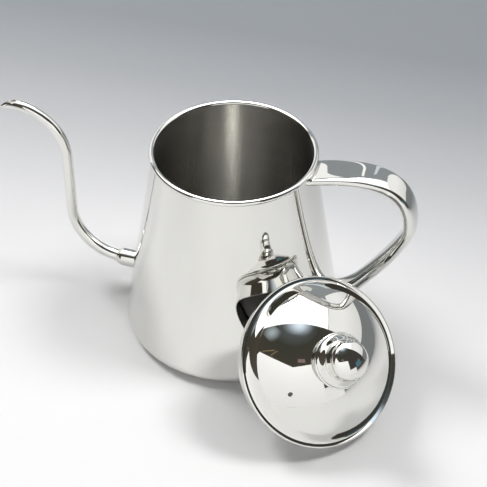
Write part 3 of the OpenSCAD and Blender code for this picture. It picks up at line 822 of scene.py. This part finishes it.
def sky_cards():
    """Small things of the dark room that the dome mirrors: name, corners, strength, colour."""
    window = sky_points([(-172, 48), (-172, 65), (-116, 56), (-116, 74)])
    middle = sum((Vector(p) for p in window), Vector()) / len(window)
    card("window", window, 0.0, (0.8, 0.93, 1), spot=(middle, 300, 0.5), veil=True)
    patches = [
        ("shelf", [(-130, 43), (-130, 44), (-114, 52), (-114, 53.5)], 0.30, (1, 0.78, 0.42)),
        ("shelf_edge", [(-116, 45), (-114, 45), (-110, 54), (-107, 54)], 0.22, (1, 0.78, 0.45)),
        ("lens", [(-68, 46), (-68, 50), (-56, 45), (-56, 49)], 0.28, (1, 0.72, 0.72)),
    ]
    for name, corners, strength, color in patches:
        card(name, sky_points(corners), strength, color)


def floor():
    """Pale worktop with painted shade: its colour darkens slowly toward the back and the right, standing in
    for the light's falloff.
    """
    material, nodes, links, shader = node_tree("floor_card")
    shader.inputs["Roughness"].default_value = 0.6
    shader.inputs["Specular IOR Level"].default_value = 0.1
    first, last = FLOOR_PAINTED_FALLOFF[0][0], FLOOR_PAINTED_FALLOFF[-1][0]
    way = BACK + FLOOR_TURN * RIGHT
    spread = distance_map(nodes, links, "DOT_PRODUCT", way, (first * MM, last * MM, 0, 1))
    stops = [((at - first) / (last - first), color) for at, color in FLOOR_PAINTED_FALLOFF]
    links.new(color_stops(nodes, links, spread.outputs["Result"], stops), shader.inputs["Base Color"])
    signs = ((-1, -1), (1, -1), (1, 1), (-1, 1))
    corners = [(FLOOR_R * right, FLOOR_R * rear, 0) for right, rear in signs]
    top = make_object("floor", corners, [(0, 1, 2, 3)], [material])


def area_light(name, at, target, size, power):
    """Square lamp that lights the surfaces but isn't mirrored in them."""
    data = bpy.data.lights.new(name, "AREA")
    data.energy, data.size = power, size * MM
    lamp = bpy.data.objects.new(name, data)
    bpy.context.scene.collection.objects.link(lamp)
    lamp.location = Vector(at) * MM
    lamp.rotation_euler = (Vector(at) - Vector(target)).to_track_quat("Z", "Y").to_euler()
    lamp.visible_glossy = False


def lamps():
    """The diffuser's light on the floor, and a smaller lamp on each side."""
    over = (-195, 397)
    area_light("top_lamp", studio_at(*over, TENT_TOP - 5), studio_at(*over, 0), 1200, TOP_LAMP)
    for name, place in (("left_lamp", (-560, 340, 1020)), ("right_lamp", (600, 0, 1050))):
        area_light(name, studio_at(*place), (0, 0, 0), 350, SIDE_LAMP)


def switch(nodes, links, ray, others, those):
    """Shows those shaders to one kind of ray, and the others to the rest."""
    pick = nodes.new("ShaderNodeMixShader")
    links.new(nodes.new("ShaderNodeLightPath").outputs[ray], pick.inputs["Fac"])
    links.new(others, pick.inputs[1])
    links.new(those, pick.inputs[2])
    return pick.outputs["Shader"]


def world():
    """The lit surfaces get an even grey light, the metal sees the dark room round the tent, and the
    camera sees a pale horizon."""
    room = bpy.data.worlds.new("room")
    bpy.context.scene.world = room
    room.use_nodes = True
    nodes, links = room.node_tree.nodes, room.node_tree.links
    even = nodes["Background"]
    even.inputs["Color"].default_value = (*ROOM_TINT, 1)
    even.inputs["Strength"].default_value = ROOM_LIGHT
    where = nodes.new("ShaderNodeTexCoord")
    split = nodes.new("ShaderNodeSeparateXYZ")
    links.new(where.outputs["Generated"], split.inputs["Vector"])
    dark = nodes.new("ShaderNodeBackground")
    links.new(color_stops(nodes, links, split.outputs["Z"], ROOM_TONES), dark.inputs["Color"])
    pale = nodes.new("ShaderNodeBackground")
    pale.inputs["Color"].default_value = (*HORIZON, 1)
    seen = switch(nodes, links, "Is Glossy Ray", even.outputs["Background"], dark.outputs["Background"])
    seen = switch(nodes, links, "Is Camera Ray", seen, pale.outputs["Background"])
    links.new(seen, nodes["World Output"].inputs["Surface"])


def camera():
    """Camera of the photo."""
    turn = Matrix.Rotation(CAMERA_TURN, 3, "Z")
    ahead = turn @ Vector((0, math.cos(CAMERA_PITCH), -math.sin(CAMERA_PITCH)))
    across = turn @ Vector((1, 0, 0))
    above = across.cross(ahead)
    right = math.cos(CAMERA_ROLL) * across + math.sin(CAMERA_ROLL) * above
    up = -math.sin(CAMERA_ROLL) * across + math.cos(CAMERA_ROLL) * above
    data = bpy.data.cameras.new("camera")
    data.sensor_width = SENSOR
    data.lens = FOCAL_PX / FRAME_PX * SENSOR
    data.clip_start, data.clip_end = 0.01, 20.0
    eye = bpy.data.objects.new("camera", data)
    bpy.context.scene.collection.objects.link(eye)
    axes = Matrix((right, up, -ahead)).transposed().to_4x4()
    eye.matrix_world = Matrix.Translation(Vector(CAMERA_AT) * MM) @ axes
    bpy.context.scene.camera = eye


def studio():
    floor()
    for make_cards in (overhead_cards, right_cards, front_cards, rear_cards, sky_cards):
        make_cards()
    world()
    lamps()


def dress():
    """Every piece, the body that it rides on, the node that it stands for and its finish."""
    rows = [
        (body_wall(), "kettle", "body_shell", "polished_steel"),
        (body_base(), "kettle", "base_pan", "polished_steel"),
        (spout_collar(), "kettle", "spout_collar", "polished_steel"),
        (spout_tube(), "kettle", "spout_tube", "polished_steel"),
        (handle(), "kettle", "handle", "polished_steel"),
        (lid_cover(), "lid", "lid_cover", "polished_steel"),
        (lid_ring(), "lid", "lid_skirt", "polished_steel"),
        (knob_saucer(), "lid", "knob_saucer", "polished_steel"),
        (knob_button(), "lid", "knob_button", "polished_steel"),
    ]
    for piece, body, node, slot in rows:
        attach(piece, body)
        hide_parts(node)
    for node in ("knob_screw", "knob_washer"):
        shown = frame["nodes"][node]
        shown.data.materials.clear()
        shown.data.materials.append(SATIN)


bpy.context.scene.view_settings.view_transform = "Standard"
camera()
studio()
dress()
